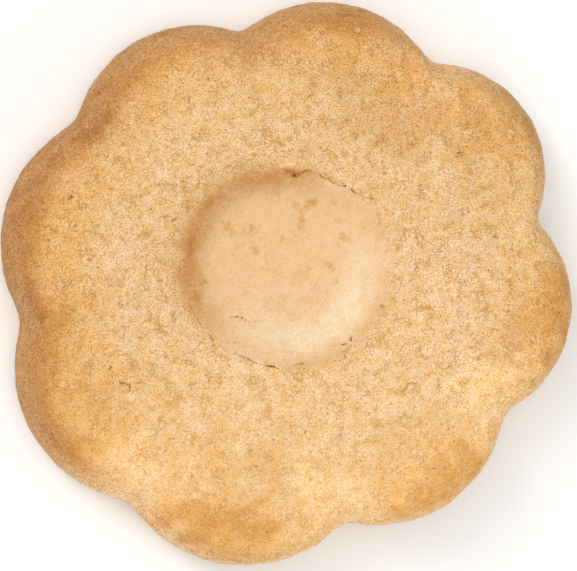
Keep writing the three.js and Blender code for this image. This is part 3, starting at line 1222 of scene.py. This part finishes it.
    def carve(self, piece: Piece, details: list[Detail]) -> tuple[np.ndarray, np.ndarray]:
        """Press every crack and pore into the surface, and step the crumb up where the rim tore.

        Args:
            piece: the cookie with its relief.
            details: the cracks and pores.

        Returns:
            How much shade is painted on each vertex in a pore or crack, and how far up a crack's
            raised edge it lies, both from 0 to 1.
        """
        tearing = self.tearing
        place, normal = (read_rows(piece.data.vertices, what) for what in ("co", "normal"))
        stray = [wander(place, tearing.jag_wavelength, seed) for seed in tearing.jag_seeds]
        shaken = place + tearing.jag * np.stack(stray, axis=1)
        push, pits, lips = (np.zeros(len(place)) for _ in range(3))
        for detail in details:
            inside = detail.box(place, tearing.reach * detail.width + tearing.jag)
            distance, side, thick = detail.reach(shaken[inside])
            reach = distance / (detail.width * thick * (1 + tearing.width_change * stray[0][inside]))
            cut = np.exp(-reach ** 2)
            push[inside] = np.minimum(push[inside], -detail.depth * thick * cut)
            # painted shade inside the pore or crack
            pits[inside] = np.maximum(pits[inside], detail.pit_shade * thick * cut)
            if detail.lip:
                swell = np.exp(-((reach - tearing.lip_middle) / tearing.lip_half) ** 2)
                swell *= side * np.sign(detail.lip) > 0
                push[inside] += np.abs(detail.lip) * swell
                lips[inside] = np.maximum(lips[inside], swell)
        outside, torn = self.rim_edge(place, self.well_reach(place))
        push += tearing.step * outside * torn * smooth_step(place[:, 2], *tearing.step_heights)
        moved = place + normal * push[:, None]
        moved[:, 2] = np.maximum(moved[:, 2], 0.0)
        piece.data.vertices.foreach_set("co", moved.ravel())
        piece.data.update()
        return pits, lips

    def write_marks(self, piece: Piece, pits: np.ndarray, lips: np.ndarray) -> None:
        """Write each vertex's marks for the finish.

        Args:
            piece: the cookie.
            pits: how much shade is painted on each vertex in a pore or crack.
            lips: how far up a crack's raised edge it lies.
        """
        place = read_rows(piece.data.vertices, "co")
        on_top = smooth_step(place[:, 2], *self.top_heights)
        reach, degrees = self.well_reach(place), self.well_degrees(place)
        outside, _ = self.rim_edge(place, reach)
        smooth = (1 - outside) * on_top
        wall = self.side_share(place)
        toast_and_shade, golden, pale_and_highlight, flecked = (self.cover(patches, piece, place) for patches in (
            TOASTED_PATCHES, GOLDEN_PATCHES, PALE_AND_HIGHLIGHT_PATCHES, WELL_FLECKS))
        brown, gold, pale = self.oven.tones(place, self.inland(place), toast_and_shade, golden)
        shares = self.shares
        # painted highlight on the well's lower-right slope
        painted_highlight = smooth * WELL_PAINTED_HIGHLIGHT.cover(reach, degrees)
        spread = shares.shade_on_crumb + (1 - shares.shade_on_crumb) * smooth
        # from here on, painted shade on the well's upper-left slope, partly also on the crumb beside it
        toast_and_shade = on_top * spread * WELL_PAINTED_SHADE.cover(reach, degrees)
        # painted shade along the well's lower-right rim
        rim_shade = shares.rim_shade_brown * on_top * WELL_FAR_RIM_SHADE.cover(reach, degrees)
        near = smooth_step(-place[:, 1], *shares.near)
        grit = (1 - smooth) * (shares.crumb_grit - shares.near_grit * near)
        grit += smooth * (shares.well_grit + shares.painted_shade_grit * toast_and_shade)
        marks = {
            Mark.SMOOTH: smooth,
            Mark.GRIT: grit + (shares.wall_grit - grit) * wall,
            Mark.GOLD: np.maximum(gold, shares.painted_shade_gold * toast_and_shade),
            Mark.BROWN: np.maximum.reduce([brown, shares.painted_shade_brown * toast_and_shade, rim_shade]),
            Mark.PALE: np.maximum.reduce([pale, on_top * pale_and_highlight, painted_highlight, shares.lip_highlight * lips]),
            Mark.WALL: wall,
            Mark.ASH: (1 - brown) * smooth_step(place[:, 2], *shares.ash),
            Mark.FLECK: on_top * flecked,
            Mark.PIT: pits,
        }
        for mark, values in marks.items():
            layer = piece.data.attributes.new(mark.value, "FLOAT", "POINT")
            layer.data.foreach_set("value", np.clip(values, 0.0, 1.0).astype(np.float32))

    def cover(self, patches: tuple[Patch, ...], piece: Piece, place: np.ndarray) -> np.ndarray:
        """How much some patches together cover each point."""
        middles = [self.camera.spot_under(patch.pixel, piece) for patch in patches]
        return np.maximum.reduce([np.zeros(len(place))] + [
            patch.cover(place, middle) for patch, middle in zip(patches, middles)])

    def inland(self, place: np.ndarray) -> np.ndarray:
        """Distance from each point to the cookie's outline, seen from above.

        Args:
            place: points, one row each.

        Returns:
            The distances.
        """
        directions = 360
        angle = np.arctan2(place[:, 1], place[:, 0])
        slot = np.floor((angle / math.pi + 1) * directions / 2).astype(int) % directions
        furthest = np.zeros(directions)
        np.maximum.at(furthest, slot, np.hypot(place[:, 0], place[:, 1]))
        turn = ((np.arange(directions) + 0.5) / directions * 2 - 1) * math.pi
        outline = np.stack([furthest * np.cos(turn), furthest * np.sin(turn)], axis=1)
        nearest = np.full(len(place), np.inf)
        for corner in outline:
            nearest = np.minimum(nearest, np.hypot(place[:, 0] - corner[0], place[:, 1] - corner[1]))
        return nearest


def main() -> None:
    """Build the camera, the studio and the cookie in order."""
    logging.basicConfig(level=logging.INFO, format="%(name)s: %(message)s")
    camera = PhotoCamera()
    camera.build()
    Studio().build()
    cookie = Cookie(camera).build()
    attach(cookie, "root")
    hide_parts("cookie")
    triangles = sum(len(face.vertices) - 2 for face in cookie.data.polygons)
    LOG.info("%s: %d faces, %d triangles", cookie.name, len(cookie.data.polygons), triangles)


if __name__ == "__main__":
    main()
